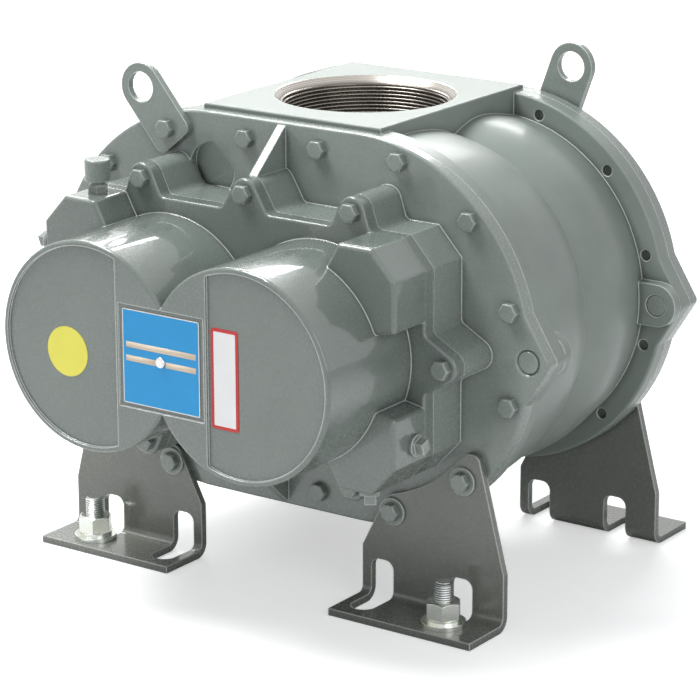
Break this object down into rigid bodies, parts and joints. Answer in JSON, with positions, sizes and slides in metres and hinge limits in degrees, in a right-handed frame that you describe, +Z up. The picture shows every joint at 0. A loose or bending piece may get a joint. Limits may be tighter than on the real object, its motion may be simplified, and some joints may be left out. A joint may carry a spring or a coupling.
{
  "type": "rotary lobe vacuum pump",
  "caption": "Rotary lobe vacuum pump: two-lobe rotors in a cast case with timing gear cover, threaded top and bottom ports, keyed drive shaft, lifting eyes and slotted feet.",
  "frame": {"origin": "on the floor plane of the feet, straight under the common axis of the two ports, midway between the shafts", "axes": "+Z up through the ports, +Y along the shafts towards the drive shaft end, +X from the driven shaft to the drive shaft"},
  "size_m": [0.5188, 0.5452, 0.4372],
  "materials": {
    "enamel": "glossy grey-green enamel over casting",
    "enamel_feet": "satin grey-green enamel on bent plate",
    "cast_iron": "machined iron",
    "machined_steel": "machined steel",
    "zinc_hardware": "bright zinc plating",
    "brass_cage": "machined",
    "seal_rubber": "matte",
    "gasket": "pressed fibre",
    "blue_plate": "blue anodised plate",
    "chrome_screw": "bright",
    "yellow_label": "vinyl",
    "white_label": "vinyl with a red border"
  },
  "bodies": {
    "housing": {"cylinder": "enamel", "gear_end_head_plate": "enamel", "drive_end_head_plate": "enamel", "gear_cover": "enamel", "gear_cover_gasket": "gasket", "bearing_outer_rings": "machined_steel", "shaft_seals": "seal_rubber", "bearing_clamp_rings": "machined_steel", "bearing_clamp_screws": "machined_steel", "drive_shaft_cover": "enamel", "blind_bearing_cover": "enamel", "drive_shaft_seal": "seal_rubber", "end_cover_bolts": "enamel", "head_plate_bolts": "enamel", "foot_bolts": "enamel", "foot_bolt_washers": "enamel", "lifting_lug_bolts": "enamel", "gear_cover_bolts": "enamel", "dowel_pins": "enamel", "foot_front_right": "enamel_feet", "foot_front_left": "enamel_feet", "foot_rear_right": "enamel_feet", "foot_rear_left": "enamel_feet", "anchor_studs": "zinc_hardware", "anchor_washers": "zinc_hardware", "anchor_nuts": "zinc_hardware", "lifting_lug_front": "enamel", "lifting_lug_rear": "enamel", "breather_fitting": "enamel", "breather_cap": "enamel", "pipe_plugs": "enamel", "name_plate": "blue_plate", "name_plate_screw": "chrome_screw", "round_label": "yellow_label", "bordered_label": "white_label"},
    "drive_rotor_set": {"drive_rotor": "cast_iron", "drive_shaft": "machined_steel", "shaft_key": "machined_steel", "drive_timing_gear": "machined_steel", "drive_gear_nut": "machined_steel", "drive_inner_rings": "machined_steel"},
    "driven_rotor_set": {"driven_rotor": "cast_iron", "driven_shaft": "machined_steel", "driven_timing_gear": "machined_steel", "driven_gear_nut": "machined_steel", "oil_slinger": "machined_steel", "driven_inner_rings": "machined_steel"},
    "drive_ball_cage_set": {"drive_ball_cage": "brass_cage"},
    "driven_ball_cage_set": {"driven_ball_cage": "brass_cage"},
    "drive_roller_cage_set": {"drive_roller_cage": "brass_cage"},
    "driven_roller_cage_set": {"driven_roller_cage": "brass_cage"}
  },
  "joints": [
    {"name": "drive_spin", "type": "hinge", "parent": "housing", "child": "drive_rotor_set", "pos_m": [0.0762, 0, 0.23], "axis": [0, 1, 0], "continuous": true},
    {"name": "driven_spin", "type": "hinge", "parent": "housing", "child": "driven_rotor_set", "pos_m": [-0.0762, 0, 0.23], "axis": [0, 1, 0], "continuous": true},
    {"name": "drive_ball_cage_spin", "type": "hinge", "parent": "housing", "child": "drive_ball_cage_set", "pos_m": [0.0762, 0, 0.23], "axis": [0, 1, 0], "continuous": true},
    {"name": "driven_ball_cage_spin", "type": "hinge", "parent": "housing", "child": "driven_ball_cage_set", "pos_m": [-0.0762, 0, 0.23], "axis": [0, 1, 0], "continuous": true},
    {"name": "drive_roller_cage_spin", "type": "hinge", "parent": "housing", "child": "drive_roller_cage_set", "pos_m": [0.0762, 0, 0.23], "axis": [0, 1, 0], "continuous": true},
    {"name": "driven_roller_cage_spin", "type": "hinge", "parent": "housing", "child": "driven_roller_cage_set", "pos_m": [-0.0762, 0, 0.23], "axis": [0, 1, 0], "continuous": true}
  ],
  "couplings": [
    {"joint": "driven_spin", "follows": "drive_spin", "ratio": -1},
    {"joint": "drive_ball_cage_spin", "follows": "drive_spin", "ratio": 0.41539},
    {"joint": "driven_ball_cage_spin", "follows": "drive_spin", "ratio": -0.41539},
    {"joint": "drive_roller_cage_spin", "follows": "drive_spin", "ratio": 0.41539},
    {"joint": "driven_roller_cage_spin", "follows": "drive_spin", "ratio": -0.41539}
  ]
}
